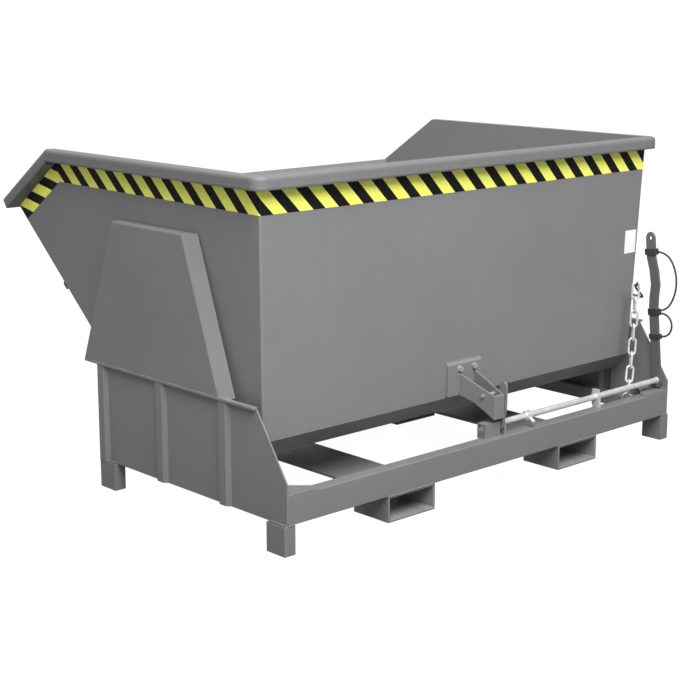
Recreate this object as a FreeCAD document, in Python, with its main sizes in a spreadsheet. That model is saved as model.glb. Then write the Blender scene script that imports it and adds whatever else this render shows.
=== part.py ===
import FreeCAD, Part
import Sketcher
import math
import os

# Tipping skip on a fork-pocket frame.  Millimetres, +Z up, +Y is the dumping side,
# origin on the floor under the middle of the overall box.

V = FreeCAD.Vector
doc = FreeCAD.newDocument("tipping_skip")
sheet = doc.addObject("Spreadsheet::Sheet", "Dims")

DIMS = [
    # base frame
    ("half_w", 990), ("plate_t", 5), ("rib_out", 13), ("rib_w", 62), ("rib_ramp", 14),
    ("rib_a", 203), ("rib_b", -140), ("rib_c", -480),
    ("plate_bot", 100), ("plate_top", 450), ("plate_far", 238), ("slope_y", -641), ("slope_z", 237),
    ("track_t", 8), ("track_out", 1005), ("track_in", 957), ("track_y0", -641), ("track_y1", 296),
    ("guard_out", 1003), ("guard_in", 970), ("guard_t", 5), ("guard_top", 970),
    ("guard_b0", -464), ("guard_b1", 296), ("guard_u0", -283), ("guard_u1", 101), ("guard_fold", 9), ("guard_splay", 48),
    ("leg_out", 1000), ("leg_x", 45), ("leg_y", 90), ("leg_h", 100), ("leg_t", 4), ("foot_t", 6),
    ("beam_y0", -785), ("beam_d", 50), ("beam_h", 95), ("tube_t", 4),
    ("front_y1", 224), ("front_h", 60), ("sill_w", 45), ("sill_h", 50),
    ("fork_c", 437), ("fork_w", 222), ("fork_h", 92), ("fork_t", 8), ("loop_l", 168), ("runner_t", 10),
    ("gus_x", 130), ("gus_y", 150), ("gus_t", 6),
    # skip
    ("skin", 4), ("wall_y", -646), ("low_y", -620), ("top_z", 1184), ("peak_y", 500), ("lip_y", 790),
    ("lip_zb", 987), ("floor_z", 259), ("floor_y0", -552), ("floor_y1", 0),
    ("cham_z", 327), ("w_ref", 968), ("z_ref", 1061), ("w_low", 945), ("corner_r", 10),
    ("rim_out", 1010), ("rim_w", 36), ("rim_h", 44), ("rim_t", 4), ("rim_r", 13), ("lip_end", 796),
    ("lipbar_w", 70), ("lipbar_t", 8), ("stiff_s", 647), ("stiff_w", 40), ("stiff_d", 19), ("stiff_x", 951),
    # roll-off gear behind the side guards
    ("roll_y", -75), ("roll_r", 230), ("roll_gap", 0.3), ("roll_x0", 962), ("roll_x1", 982), ("web_t", 10),
    ("roll_rail", 10), ("roll_from", -112), ("roll_arc", 112), ("trun_r", 15), ("trun_end", 996), ("hub_r", 46),
    ("shoe_in", 985), ("shoe_w", 56), ("shoe_h", 40), ("run_gap", 0.06), ("bar_gap", 0.4), ("bar_in", 984.5),
    ("bar_y0", -150), ("bar_y1", 196), ("bar_h", 12),
    # latch
    ("arm_x0", -56), ("arm_x1", 30), ("arm_t", 6), ("arm_root", -634), ("arm_tip", -782), ("tip_x0", -28), ("tip_x1", 22),
    ("cp_x0", -110), ("cp_x1", 67), ("cp_z0", 332), ("cp_z1", 456), ("cp_cham", 10), ("cp_face", -634),
    ("pin_y", -735), ("pin_z", 345), ("pin_r", 7), ("pin_x0", -45), ("pin_x1", 44),
    ("boss_x0", -57), ("boss_x1", 21), ("boss_r", 16.5),
    ("cheek_x0", 40), ("cheek_x1", 50), ("cheek_up", 25),
    ("shaft_y", -745), ("shaft_z", 235), ("shaft_r", 11), ("shaft_x0", -48), ("shaft_x1", 992),
    ("hook_x0", 27), ("hook_x1", 37), ("lever_lean", 5.9), ("lever_x0", 966), ("lever_x1", 976),
    ("lever_w", 40), ("lever_u", 566), ("bear_b", 587), ("bear_t", 14),
    # cords and chain
    ("rope_r", 4), ("rope_x", 980.4), ("link_t", 55), ("link_d", 9), ("link_b", 17),
    ("eye_x", 822), ("eye_y", -714), ("eye_z", 185), ("hookrod_r", 4.5),
    ("label_x0", 877), ("label_x1", 943), ("label_z0", 735), ("label_z1", 825),
]


class Q:
    """A number that carries its spreadsheet expression."""

    def __init__(self, v, e):
        self.v, self.e = float(v), e

    def __add__(self, o):
        o = q(o)
        return Q(self.v + o.v, "(%s + %s)" % (self.e, o.e))

    __radd__ = __add__

    def __sub__(self, o):
        o = q(o)
        return Q(self.v - o.v, "(%s - %s)" % (self.e, o.e))

    def __rsub__(self, o):
        return q(o) - self

    def __mul__(self, o):
        o = q(o)
        return Q(self.v * o.v, "(%s * %s)" % (self.e, o.e))

    __rmul__ = __mul__

    def __truediv__(self, o):
        o = q(o)
        return Q(self.v / o.v, "(%s / %s)" % (self.e, o.e))

    def __rtruediv__(self, o):
        return q(o) / self

    def __neg__(self):
        return Q(-self.v, "(0 - %s)" % self.e)


def q(o):
    return o if isinstance(o, Q) else Q(o, repr(float(o)))


def qsqrt(o):
    return Q(math.sqrt(o.v), "sqrt(%s)" % o.e)


def qsin(o):
    return Q(math.sin(math.radians(o.v)), "sin(%s * 1 deg)" % o.e)


def qcos(o):
    return Q(math.cos(math.radians(o.v)), "cos(%s * 1 deg)" % o.e)


class Table:
    pass


D = Table()
for i, (name, value) in enumerate(DIMS, 1):
    sheet.set("A%d" % i, name)
    sheet.set("B%d" % i, repr(float(value)))
    sheet.setAlias("B%d" % i, name)
    setattr(D, name, Q(value, "Dims." + name))
doc.recompute()

NODES = []


def bind(obj, prop, value):
    obj.setExpression(prop, value.e)


def plane_of(body, role):
    for f in body.Origin.OriginFeatures:
        if f.Role == role:
            return f
    raise RuntimeError("no plane " + role)


def sketch_on(body, name, role, start, loops, circles=()):
    """A fully dimensioned sketch.  start is where it stands along +X (YZ), +Y (XZ) or +Z (XY)."""
    sk = body.newObject("Sketcher::SketchObject", name)
    sk.AttachmentSupport = [(plane_of(body, role), "")]
    sk.MapMode = "FlatFace"
    off = -start if role == "XZ_Plane" else start
    sk.AttachmentOffset = FreeCAD.Placement(V(0, 0, off.v), FreeCAD.Rotation())
    sk.setExpression("AttachmentOffset.Base.z", off.e)
    count = 0
    for loop in loops:
        pts = [(q(a), q(b)) for a, b in loop]
        n = len(pts)
        first = count
        geo = [Part.LineSegment(V(pts[k][0].v, pts[k][1].v, 0), V(pts[(k + 1) % n][0].v, pts[(k + 1) % n][1].v, 0))
               for k in range(n)]
        sk.addGeometry(geo, False)
        count += n
        for k in range(n):
            sk.addConstraint(Sketcher.Constraint("Coincident", first + k, 2, first + (k + 1) % n, 1))
        for k in range(n):
            for kind, val in (("DistanceX", pts[k][0]), ("DistanceY", pts[k][1])):
                c = sk.addConstraint(Sketcher.Constraint(kind, -1, 1, first + k, 1, val.v))
                sk.setExpression("Constraints[%d]" % c, val.e)
    for cx, cy, r in circles:
        cx, cy, r = q(cx), q(cy), q(r)
        g = sk.addGeometry(Part.Circle(V(cx.v, cy.v, 0), V(0, 0, 1), r.v), False)
        for kind, val in (("DistanceX", cx), ("DistanceY", cy)):
            c = sk.addConstraint(Sketcher.Constraint(kind, -1, 1, g, 3, val.v))
            sk.setExpression("Constraints[%d]" % c, val.e)
        c = sk.addConstraint(Sketcher.Constraint("Radius", g, r.v))
        sk.setExpression("Constraints[%d]" % c, r.e)
    return sk


def prism(name, role, loops, start, end, circles=()):
    """A padded body between two positions along the sketch's own axis."""
    start, end = q(start), q(end)
    body = doc.addObject("PartDesign::Body", name)
    base = end if role == "XZ_Plane" else start      # that plane's normal points to -Y
    sk = sketch_on(body, name + "_sk", role, base, loops, circles)
    pad = body.newObject("PartDesign::Pad", name + "_pad")
    pad.Profile = sk
    length = end - start
    pad.Length = length.v
    bind(pad, "Length", length)
    sk.Visibility = False
    body.Tip = pad
    return body


def pocket(body, name, role, loops, start, end, circles=()):
    """Cuts a prism out of the body between two positions along the sketch's own axis."""
    start, end = q(start), q(end)
    base = start if role == "XZ_Plane" else end      # a pocket runs against the normal
    sk = sketch_on(body, name + "_sk", role, base, loops, circles)
    pk = body.newObject("PartDesign::Pocket", name)
    pk.Profile = sk
    length = end - start
    pk.Length = length.v
    bind(pk, "Length", length)
    body.Tip = pk
    before = pk.BaseFeature.Shape.Volume if pk.BaseFeature is not None and not pk.BaseFeature.Shape.isNull() else None
    doc.recompute()
    if before is not None and not pk.Shape.Volume < before:
        raise RuntimeError("pocket cuts nothing: " + name)
    return body


def leaning_pocket(body, name, loop, z0, z1, lean):
    """Cuts a prism that stands on a level outline and leans towards +Y by lean per unit of height."""
    doc.recompute()
    before = body.Tip.Shape.Volume
    z0, z1, lean = q(z0), q(z1), q(lean)
    sk = sketch_on(body, name + "_sk", "XY_Plane", z0, [loop])
    pk = body.newObject("PartDesign::Pocket", name)
    pk.Profile = sk
    pk.UseCustomVector = True
    pk.AlongSketchNormal = True
    pk.Direction = V(0, lean.v, 1)
    pk.setExpression("Direction.y", lean.e)
    length = z1 - z0
    pk.Length = length.v
    bind(pk, "Length", length)
    sk.Visibility = False
    body.Tip = pk
    doc.recompute()
    if not pk.Shape.Volume < before:
        raise RuntimeError("pocket cuts nothing: " + name)
    return body


def fillet(body, name, radius, pick):
    """Rounds the edges of the body's tip that pick(edge) chooses."""
    doc.recompute()
    tip = body.Tip
    names = ["Edge%d" % (k + 1) for k, e in enumerate(tip.Shape.Edges) if pick(e)]
    if not names:
        raise RuntimeError("no edges for " + name)
    f = body.newObject("PartDesign::Fillet", name)
    f.Base = (tip, names)
    radius = q(radius)
    f.Radius = radius.v
    bind(f, "Radius", radius)
    body.Tip = f
    return body


def box(name, x0, x1, y0, y1, z0, z1):
    o = doc.addObject("Part::Box", name)
    for prop, a, b, axis in (("Length", x0, x1, "x"), ("Width", y0, y1, "y"), ("Height", z0, z1, "z")):
        a, b = q(a), q(b)
        size = b - a
        setattr(o, prop, size.v)
        bind(o, prop, size)
        o.setExpression("Placement.Base." + axis, a.e)
    return o


def turned(direction, up_angle=0.0):
    """Rotation that lays a cylinder's own axis along X or Y."""
    if direction == "x":
        c, s = math.cos(math.radians(up_angle)), math.sin(math.radians(up_angle))
        m = FreeCAD.Matrix(0, 0, 1, 0, c, -s, 0, 0, s, c, 0, 0, 0, 0, 0, 1)
        return FreeCAD.Placement(m).Rotation
    return FreeCAD.Rotation(V(1, 0, 0), -90)


def rod(name, direction, base, length, radius, arc=None, start_angle=0.0):
    """A cylinder along +X, +Y or +Z from base; an arc makes it a sector from start_angle (YZ plane)."""
    o = doc.addObject("Part::Cylinder", name)
    length, radius = q(length), q(radius)
    o.Radius, o.Height = radius.v, length.v
    bind(o, "Radius", radius)
    bind(o, "Height", length)
    if arc is not None:
        arc = q(arc)
        o.Angle = arc.v
        bind(o, "Angle", arc)
    base = [q(b) for b in base]
    rot = FreeCAD.Rotation() if direction == "z" else turned(direction, start_angle)
    o.Placement = FreeCAD.Placement(V(*[b.v for b in base]), rot)
    for axis, b in zip("xyz", base):
        o.setExpression("Placement.Base." + axis, b.e)
    return o


def cut(name, a, b):
    o = doc.addObject("Part::Cut", name)
    o.Base, o.Tool = a, b
    return o


def common(name, a, b):
    o = doc.addObject("Part::Common", name)
    o.Base, o.Tool = a, b
    return o


def fuse(name, *items):
    o = doc.addObject("Part::MultiFuse", name)
    o.Shapes = list(items)
    return o


def node(obj, label):
    obj.Label = label
    NODES.append((label, obj))
    return obj


def tube_box(name, x0, x1, y0, y1, z0, z1, t, along):
    """A rectangular tube, open at both ends along one axis."""
    outer = box(name + "_o", x0, x1, y0, y1, z0, z1)
    a = [q(x0), q(y0), q(z0)]
    b = [q(x1), q(y1), q(z1)]
    lo, hi = [], []
    for k, ax in enumerate("xyz"):
        if ax == along:
            lo.append(a[k] - 10)
            hi.append(b[k] + 10)
        else:
            lo.append(a[k] + t)
            hi.append(b[k] - t)
    inner = box(name + "_i", lo[0], hi[0], lo[1], hi[1], lo[2], hi[2])
    return cut(name, outer, inner)


def side_span(s, x_in, x_out):
    """X range of a piece on the left (s=-1) or right (s=1)."""
    x_in, x_out = q(x_in), q(x_out)
    return (x_in, x_out) if s > 0 else (-x_out, -x_in)


SIDES = (("left", -1), ("right", 1))
half = D.half_w - D.plate_t

# ---------------------------------------------------------------- base frame
node(tube_box("rear_beam_", -half, half, D.beam_y0, D.beam_y0 + D.beam_d, D.leg_h, D.leg_h + D.beam_h, D.tube_t, "x"), "rear_beam")
node(tube_box("front_beam_", -half, half, D.front_y1 - D.beam_d, D.front_y1, D.leg_h, D.leg_h + D.front_h, D.tube_t, "x"), "front_beam")

for word, s in SIDES:
    c = D.fork_c * s
    # fork pocket: a short loop for the tine under each cross beam, joined by a flat runner between the beams
    f0, f1, fz = c - D.fork_w / 2, c + D.fork_w / 2, D.leg_h - D.fork_h
    near = tube_box("fork_loop_rear_" + word, f0, f1, D.beam_y0, D.beam_y0 + D.loop_l, fz, D.leg_h, D.fork_t, "y")
    far = tube_box("fork_loop_front_" + word, f0, f1, D.front_y1 - D.loop_l, D.front_y1, fz, D.leg_h, D.fork_t, "y")
    runner = box("fork_runner_" + word, f0, f1, D.beam_y0 + D.beam_d, D.front_y1 - D.beam_d, D.leg_h, D.leg_h + D.runner_t)
    node(fuse("fork_pocket_%s_" % word, near, far, runner), "fork_pocket_" + word)
    a, b = side_span(s, half - D.sill_w, half)
    node(tube_box("side_sill_%s_" % word, a, b, D.beam_y0 + D.beam_d, D.front_y1 - D.beam_d, D.leg_h, D.leg_h + D.sill_h,
                  D.tube_t, "y"), "side_sill_" + word)
    # feet: rectangular tubes closed by a foot plate
    for end, y0 in (("rear", D.beam_y0), ("front", D.front_y1 - D.leg_y)):
        a, b = side_span(s, D.leg_out - D.leg_x, D.leg_out)
        leg = box("leg_%s_%s_o" % (end, word), a, b, y0, y0 + D.leg_y, 0, D.leg_h)
        hol = box("leg_%s_%s_i" % (end, word), a + D.leg_t, b - D.leg_t, y0 + D.leg_t, y0 + D.leg_y - D.leg_t, D.foot_t, D.leg_h + 10)
        node(cut("leg_%s_%s_" % (end, word), leg, hol), "leg_%s_%s" % (end, word))

    # ribbed side plate: pressed sheet in plan, then the sloped rear edge is cut off
    xo, xi, xr = D.half_w * s, half * s, (D.half_w + D.rib_out) * s
    xq = (D.half_w + D.rib_out - D.plate_t) * s
    outer, inner = [(xo, D.beam_y0)], [(xi, D.beam_y0)]
    for centre in (D.rib_c, D.rib_b, D.rib_a):
        r0, r1 = centre - D.rib_w / 2, centre + D.rib_w / 2
        outer += [(xo, r0), (xr, r0 + D.rib_ramp), (xr, r1 - D.rib_ramp), (xo, r1)]
        inner += [(xi, r0 + 2), (xq, r0 + D.rib_ramp + 2), (xq, r1 - D.rib_ramp - 2), (xi, r1 - 2)]
    outer.append((xo, D.plate_far))
    inner.append((xi, D.plate_far))
    loop = outer + inner[::-1]
    plate = prism("side_plate_%s_" % word, "XY_Plane", [loop], D.plate_bot, D.plate_top)
    a, b = side_span(s, half - 40, D.half_w + 60)
    pocket(plate, "plate_slope_" + word, "YZ_Plane",
           [[(D.beam_y0 - 40, D.slope_z), (D.beam_y0, D.slope_z), (D.slope_y, D.plate_top), (D.slope_y, D.plate_top + 40),
             (D.beam_y0 - 40, D.plate_top + 40)]], a, b)
    if s > 0:
        pocket(plate, "plate_bore", "YZ_Plane", [], a, b, [(D.shaft_y, D.shaft_z, D.shaft_r + D.run_gap)])
    node(plate, "side_plate_" + word)

    # track: a flat bar, narrowed to the plate's edge behind the guard
    track_z = D.plate_top + D.track_t
    ti, to = D.track_in * s, D.track_out * s
    node(prism("track_%s_" % word, "XY_Plane",
               [[(ti, D.track_y1), (to, D.track_y1), (to, D.track_y0), (xi, D.track_y0), (xi, D.guard_b0 - D.guard_splay - 8), (ti, D.guard_b0 + 40)]],
               D.plate_top, track_z), "track_" + word)

    # folded guard over the roll-off gear: face, splayed rear return and top return; open below and in front
    a, b = side_span(s, D.guard_in, D.guard_out)
    g_t, splay = D.guard_t, D.guard_splay
    guard = prism("guard_%s_" % word, "YZ_Plane",
                  [[(D.guard_b0 - splay, track_z), (D.guard_b1, track_z), (D.guard_u1, D.guard_top), (D.guard_u0 - splay, D.guard_top)]], a, b)
    deep = D.guard_out - D.guard_in
    rise, run = D.guard_top - track_z, D.guard_u0 - D.guard_b0
    lean, tilt = run / rise, splay / deep
    shift = g_t * qsqrt(tilt * tilt + lean * lean + 1)      # the sheet's thickness measured along Y
    low = D.guard_b0 - lean * 30
    leaning_pocket(guard, "guard_splay_" + word,
                   [((D.guard_in - 10) * s, low - splay - tilt * 10), ((D.guard_out + 10) * s, low + tilt * 10),
                    ((D.guard_out + 10) * s, low - splay - 90), ((D.guard_in - 10) * s, low - splay - 90)],
                   track_z - 30, D.guard_top + 30, lean)
    gx0, gx1 = D.guard_in - 20, D.guard_out - g_t
    leaning_pocket(guard, "guard_hollow_" + word,
                   [(gx0 * s, low + shift - tilt * (D.guard_out - gx0)), (gx1 * s, low + shift - tilt * g_t),
                    (gx1 * s, D.guard_b1 + 300), (gx0 * s, D.guard_b1 + 300)],
                   track_z - 30, D.guard_top - g_t, lean)
    face_x = D.guard_out.v * s

    def fold_edge(e, face_x=face_x):
        p = [v.Point for v in e.Vertexes]
        if len(p) != 2 or any(abs(u.x - face_x) > 0.01 for u in p):
            return False
        top = all(abs(u.z - D.guard_top.v) < 0.01 for u in p)
        rear = all(abs(u.y - (D.guard_b0.v + (u.z - track_z.v) * lean.v)) < 0.05 for u in p) and abs(p[0].z - p[1].z) > 50
        return top or rear

    fillet(guard, "guard_fold_" + word, D.guard_fold, fold_edge)
    node(guard, "guard_" + word)

    # corner gusset on the rear beam
    a = half * s
    node(prism("corner_gusset_%s_" % word, "XY_Plane",
               [[(a, D.beam_y0), (a - D.gus_x * s, D.beam_y0), (a - D.gus_x * s, D.beam_y0 + 30), (a, D.beam_y0 + D.gus_y)]],
               D.leg_h + D.beam_h, D.leg_h + D.beam_h + D.gus_t), "corner_gusset_" + word)

# ---------------------------------------------------------------- skip
taper = (D.w_ref - D.w_low) / (D.z_ref - 334)
zb, zt = D.floor_z - 60, D.top_z + 65
wb, wt = D.w_low + taper * (zb - 334), D.w_low + taper * (zt - 334)
m = (D.lip_zb - D.floor_z) / (D.lip_y - D.floor_y1)
hyp = qsqrt(m * m + 1)


def envelope(name, profile, inset, radius):
    """The skip's outside or inside as a solid: side profile, tapered sides, rounded rear corners."""
    body = prism(name, "YZ_Plane", [profile], -1050, 1050)
    for word, s in SIDES:
        lowx, topx = (wb - inset) * s, (wt - inset) * s
        pocket(body, "%s_taper_%s" % (name, word), "XZ_Plane",
               [[(1100 * s, zb), (lowx, zb), (topx, zt), (1100 * s, zt)]], -900, 1000)
    (ya, za), (yb, zb_) = profile[0], profile[1]

    def rear_edge(e):
        p = [v.Point for v in e.Vertexes]
        on = lambda u: abs(u.y - (ya.v + (yb.v - ya.v) * (u.z - za.v) / (zb_.v - za.v))) < 0.02
        return len(p) == 2 and all(on(u) for u in p) and abs(p[0].z - p[1].z) > 300

    fillet(body, name + "_corner", radius, rear_edge)
    return body


lean_k = (D.low_y - D.wall_y) / (D.top_z - D.cham_z)


def wall_at(z):
    """Outside of the leaning rear wall at height z."""
    return D.wall_y + lean_k * (D.top_z - z)


P_OUT = [(D.wall_y, D.top_z), (D.low_y, D.cham_z), (D.floor_y0, D.floor_z), (D.floor_y1, D.floor_z),
         (D.lip_y, D.lip_zb), (D.peak_y, D.top_z)]
cm = (D.cham_z - D.floor_z) / (D.floor_y0 - D.low_y)
ch = qsqrt(cm * cm + 1)
yi, fi = D.low_y + D.skin, D.floor_z + D.skin
P_IN = [(wall_at(zt) + D.skin, zt), (yi, D.cham_z - cm * D.skin + ch * D.skin), (D.floor_y0 + (ch * D.skin - D.skin) / cm, fi),
        (D.floor_y1 - (hyp * D.skin - D.skin) / m, fi), (q(900), fi + m * (900 - (D.floor_y1 - (hyp * D.skin - D.skin) / m))),
        (q(900), zt)]

outer_env = envelope("skip_outside", P_OUT, q(0), D.corner_r)
inner_env = envelope("skip_inside", P_IN, D.skin, D.corner_r - D.skin)
inner_wide = prism("skip_inner_profile", "YZ_Plane", [P_IN], -1050, 1050)
trough = cut("skip_trough", outer_env, inner_wide)
flanks = cut("skip_flanks", common("skip_flank_block", outer_env, inner_wide), inner_env)

node(common("rear_wall_", trough, box("cell_rear", -1050, 1050, D.wall_y - 50, D.wall_y + 90, D.cham_z, 1300)), "rear_wall")
node(common("floor_pan_", trough, box("cell_floor", -1050, 1050, D.floor_y0, D.floor_y1, 200, D.cham_z)), "floor_pan")
node(common("floor_knuckle_", trough, box("cell_knuckle", -1050, 1050, D.wall_y - 50, D.floor_y0, 200, D.cham_z)), "floor_knuckle")
node(common("front_slope_", trough, box("cell_slope", -1050, 1050, D.floor_y1, 900, 200, 1300)), "front_slope")
for word, s in SIDES:
    a, b = side_span(s, 0, 1100)
    node(common("side_wall_%s_" % word, flanks, box("cell_side_" + word, a, b, -800, 900, 200, 1300)), "side_wall_" + word)

# folded rim along the rear and both sides
ry = D.wall_y - D.rim_w
rim_block = prism("rim_block", "XY_Plane", [[(-D.rim_out, ry), (D.rim_out, ry), (D.rim_out, D.peak_y), (-D.rim_out, D.peak_y)]],
                  D.top_z - D.rim_h, D.top_z)


def upright_rear(e, y):
    p = [v.Point for v in e.Vertexes]
    return len(p) == 2 and all(abs(u.y - y) < 0.01 for u in p) and abs(p[0].z - p[1].z) > 5 and abs(p[0].x - p[1].x) < 0.01


fillet(rim_block, "rim_block_corner", D.corner_r + D.rim_w, lambda e: upright_rear(e, ry.v))


def rim_top(e):
    b = e.BoundBox
    if abs(b.ZMax - D.top_z.v) > 0.01 or abs(b.ZMin - D.top_z.v) > 0.01:
        return False
    return not (abs(b.YMin - D.peak_y.v) < 0.01 and abs(b.YMax - D.peak_y.v) < 0.01)


fillet(rim_block, "rim_block_top", D.rim_r, rim_top)
ro = D.rim_out - D.rim_t
rim_hol = prism("rim_hollow", "XY_Plane", [[(-ro, ry + D.rim_t), (ro, ry + D.rim_t), (ro, D.peak_y + 20), (-ro, D.peak_y + 20)]],
                D.top_z - D.rim_h + D.rim_t, D.top_z - D.rim_t)
fillet(rim_hol, "rim_hollow_corner", D.corner_r + D.rim_w - D.rim_t, lambda e: upright_rear(e, ry.v + D.rim_t.v))
fillet(rim_hol, "rim_hollow_top", D.rim_r - D.rim_t,
       lambda e: abs(e.BoundBox.ZMin - D.top_z.v + D.rim_t.v) < 0.01 and e.BoundBox.YMin < D.peak_y.v + 10)
rim_ring = cut("rim_ring", cut("rim_shell", rim_block, rim_hol), outer_env)
split, flat = D.wall_y + 60, D.rim_out - 120
node(common("rim_rear_", rim_ring, box("cell_rim_rear", -flat, flat, -800, split, 1000, 1300)), "rim_rear")
for word, s in SIDES:
    a, b = side_span(s, 0, 1100)
    node(common("rim_side_%s_" % word, rim_ring, box("cell_rim_" + word, a, b, split, 900, 1000, 1300)), "rim_side_" + word)
    a, b = side_span(s, flat, 1100)
    node(common("rim_corner_%s_" % word, rim_ring, box("cell_rim_corner_" + word, a, b, -800, split, 1000, 1300)), "rim_corner_" + word)
    # the rim runs down to the lip along the slanted edge
    drop = (D.top_z - D.lip_zb) / (D.lip_y - D.peak_y)
    dh = qsqrt(drop * drop + 1)
    nx, nz = drop / dh, 1 / dh
    end_z = D.top_z - drop * (D.lip_end - D.peak_y)

    def along(y, depth):
        """On the slanted edge at y, then straight down into the strip by depth measured square to it."""
        return (y, D.top_z - drop * (y - D.peak_y) - dh * depth)

    a, b = side_span(s, 945, D.rim_out)
    strip = prism("rim_slant_block_" + word, "YZ_Plane",
                  [[along(D.peak_y, 0), along(D.lip_end, 0), (D.lip_end - nx * D.rim_h, end_z - nz * D.rim_h),
                    along(D.peak_y, D.rim_h)]], a, b)
    fillet(strip, "rim_slant_round_" + word, D.rim_r,
           lambda e, s=s: all(abs(v.Point.x - D.rim_out.v * s) < 0.01 for v in e.Vertexes)
           and sorted(round(v.Point.z) for v in e.Vertexes) == sorted([round(D.top_z.v), round(end_z.v)]))
    a, b = side_span(s, 900, D.rim_out - D.rim_t)
    hol = prism("rim_slant_hollow_" + word, "YZ_Plane",
                [[along(D.peak_y - 2, D.rim_t), along(D.lip_end - 6, D.rim_t),
                  along(D.lip_end - 6 - nx * (D.rim_h - 2 * D.rim_t), D.rim_h - D.rim_t), along(D.peak_y - 2, D.rim_h - D.rim_t)]], a, b)
    node(cut("rim_slant_%s_" % word, cut("rim_slant_shell_" + word, strip, hol), outer_env), "rim_slant_" + word)

# doubler along the lip and a folded stiffener across the slope
uy, uz = 1 / hyp, m / hyp            # up the slope
oy, oz = m / hyp, -1 / hyp           # out of the slope


def on_slope(s, out):
    return (D.floor_y1 + uy * s + oy * out, D.floor_z + uz * s + oz * out)


slope_len = (D.lip_y - D.floor_y1) * hyp
node(prism("lip_bar_", "YZ_Plane", [[on_slope(slope_len - D.lipbar_w, 0), on_slope(slope_len, 0), on_slope(slope_len, D.lipbar_t),
                                     on_slope(slope_len - D.lipbar_w, D.lipbar_t)]], -944.5, 944.5), "lip_bar")
s0, s1, d = D.stiff_s - D.stiff_w / 2, D.stiff_s + D.stiff_w / 2, D.stiff_d
node(prism("slope_stiffener_", "YZ_Plane",
           [[on_slope(s0, 0), on_slope(s0 + 6, d), on_slope(s1 - 6, d), on_slope(s1, 0), on_slope(s1 - 4, 0),
             on_slope(s1 - 10, d - 4), on_slope(s0 + 10, d - 4), on_slope(s0 + 4, 0)]], -D.stiff_x, D.stiff_x), "slope_stiffener")

# roll-off gear: a rolling segment welded to each flank, a guide shoe on its trunnion, a guide bar in the guard
track_z = D.plate_top + D.track_t
rz = track_z + D.roll_r + D.roll_gap
for word, s in SIDES:
    a, b = side_span(s, D.roll_x0, D.roll_x1)
    seg = rod("roll_disc_" + word, "x", (a, D.roll_y, rz), b - a, D.roll_r, D.roll_arc, D.roll_from.v)
    c, e = side_span(s, D.roll_x0 + D.web_t, D.roll_x1 + 20)
    rim_in = rod("roll_recess_" + word, "x", (c, D.roll_y, rz), e - c, D.roll_r - D.roll_rail)
    web = cut("roll_web_" + word, seg, rim_in)
    c, e = side_span(s, D.roll_x0, D.trun_end)
    trunnion = rod("roll_trunnion_" + word, "x", (c, D.roll_y, rz), e - c, D.trun_r)
    c, e = side_span(s, 900, D.roll_x0 + D.web_t)
    hub = rod("roll_hub_" + word, "x", (c, D.roll_y, rz), e - c, D.hub_r)
    c, e = side_span(s, 880, D.roll_x0 + 2)
    rib1 = box("roll_rib_low_" + word, c, e, D.roll_y - 6, D.roll_y + 6, track_z + 14, rz - 20)
    rib2 = box("roll_rib_fore_" + word, c, e, D.roll_y + 20, D.roll_y + D.roll_r - 16, rz - 18, rz - 6)
    node(cut("roll_segment_%s_" % word, fuse("roll_sum_" + word, web, trunnion, hub, rib1, rib2), outer_env), "roll_segment_" + word)
    c, e = side_span(s, D.shoe_in, D.trun_end)
    blk = box("shoe_block_" + word, c, e, D.roll_y - D.shoe_w / 2, D.roll_y + D.shoe_w / 2, rz - D.shoe_h / 2, rz + D.shoe_h / 2)
    hole = rod("shoe_bore_" + word, "x", (c - 10, D.roll_y, rz), e - c + 20, D.trun_r + D.run_gap)
    node(cut("guide_shoe_%s_" % word, blk, hole), "guide_shoe_" + word)
    c, e = side_span(s, D.bar_in, D.guard_out - D.guard_t)
    bz = rz + D.shoe_h / 2 + D.bar_gap
    node(box("guide_bar_%s_" % word, c, e, D.bar_y0, D.bar_y1, bz, bz + D.bar_h), "guide_bar_" + word)

# ---------------------------------------------------------------- latch on the skip
catch = prism("catch_block", "YZ_Plane", [[(D.cp_face, D.cp_z0), (wall_at(D.cp_z0), D.cp_z0), (wall_at(D.cp_z1), D.cp_z1), (D.cp_face, D.cp_z1 - D.cp_cham)]],
              D.cp_x0, D.cp_x1)
node(catch, "catch_plate")
arm_side = prism("arm_profile", "YZ_Plane", [[(D.arm_root, 413), (D.arm_tip, 348), (D.arm_tip, 265), (-700, 316), (D.arm_root, 336)]], -120, 120)
arm_plan = prism("arm_plan", "XY_Plane", [[(D.arm_x0, D.arm_root), (D.arm_x1, D.arm_root), (D.tip_x1, D.arm_tip), (D.tip_x0, D.arm_tip)]], 250, 460)
arm_void = prism("arm_hollow_profile", "YZ_Plane", [[(D.arm_root + 30, 500), (D.arm_tip + D.arm_t, 500), (D.arm_tip + D.arm_t, 272), (-701, 322.5), (D.arm_root + 30, 344.5)]], -120, 120)
wx = D.arm_t / 5
arm_inside = prism("arm_hollow_plan", "XY_Plane", [[(D.arm_x0 + D.arm_t - wx, D.arm_root + 8), (D.arm_x1 - D.arm_t + wx, D.arm_root + 8),
                                                    (D.tip_x1 - D.arm_t, D.arm_tip), (D.tip_x0 + D.arm_t, D.arm_tip)]], 200, 520)
arm_shell = cut("arm_shell", common("arm_solid", arm_side, arm_plan), common("arm_hollow", arm_void, arm_inside))
node(cut("catch_arm_", arm_shell, rod("arm_bore", "x", (q(-150), D.pin_y, D.pin_z), q(300), D.pin_r)), "catch_arm")
pin = rod("pin_bar", "x", (D.pin_x0, D.pin_y, D.pin_z), D.pin_x1 - D.pin_x0, D.pin_r)
node(pin, "striker_pin")


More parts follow.
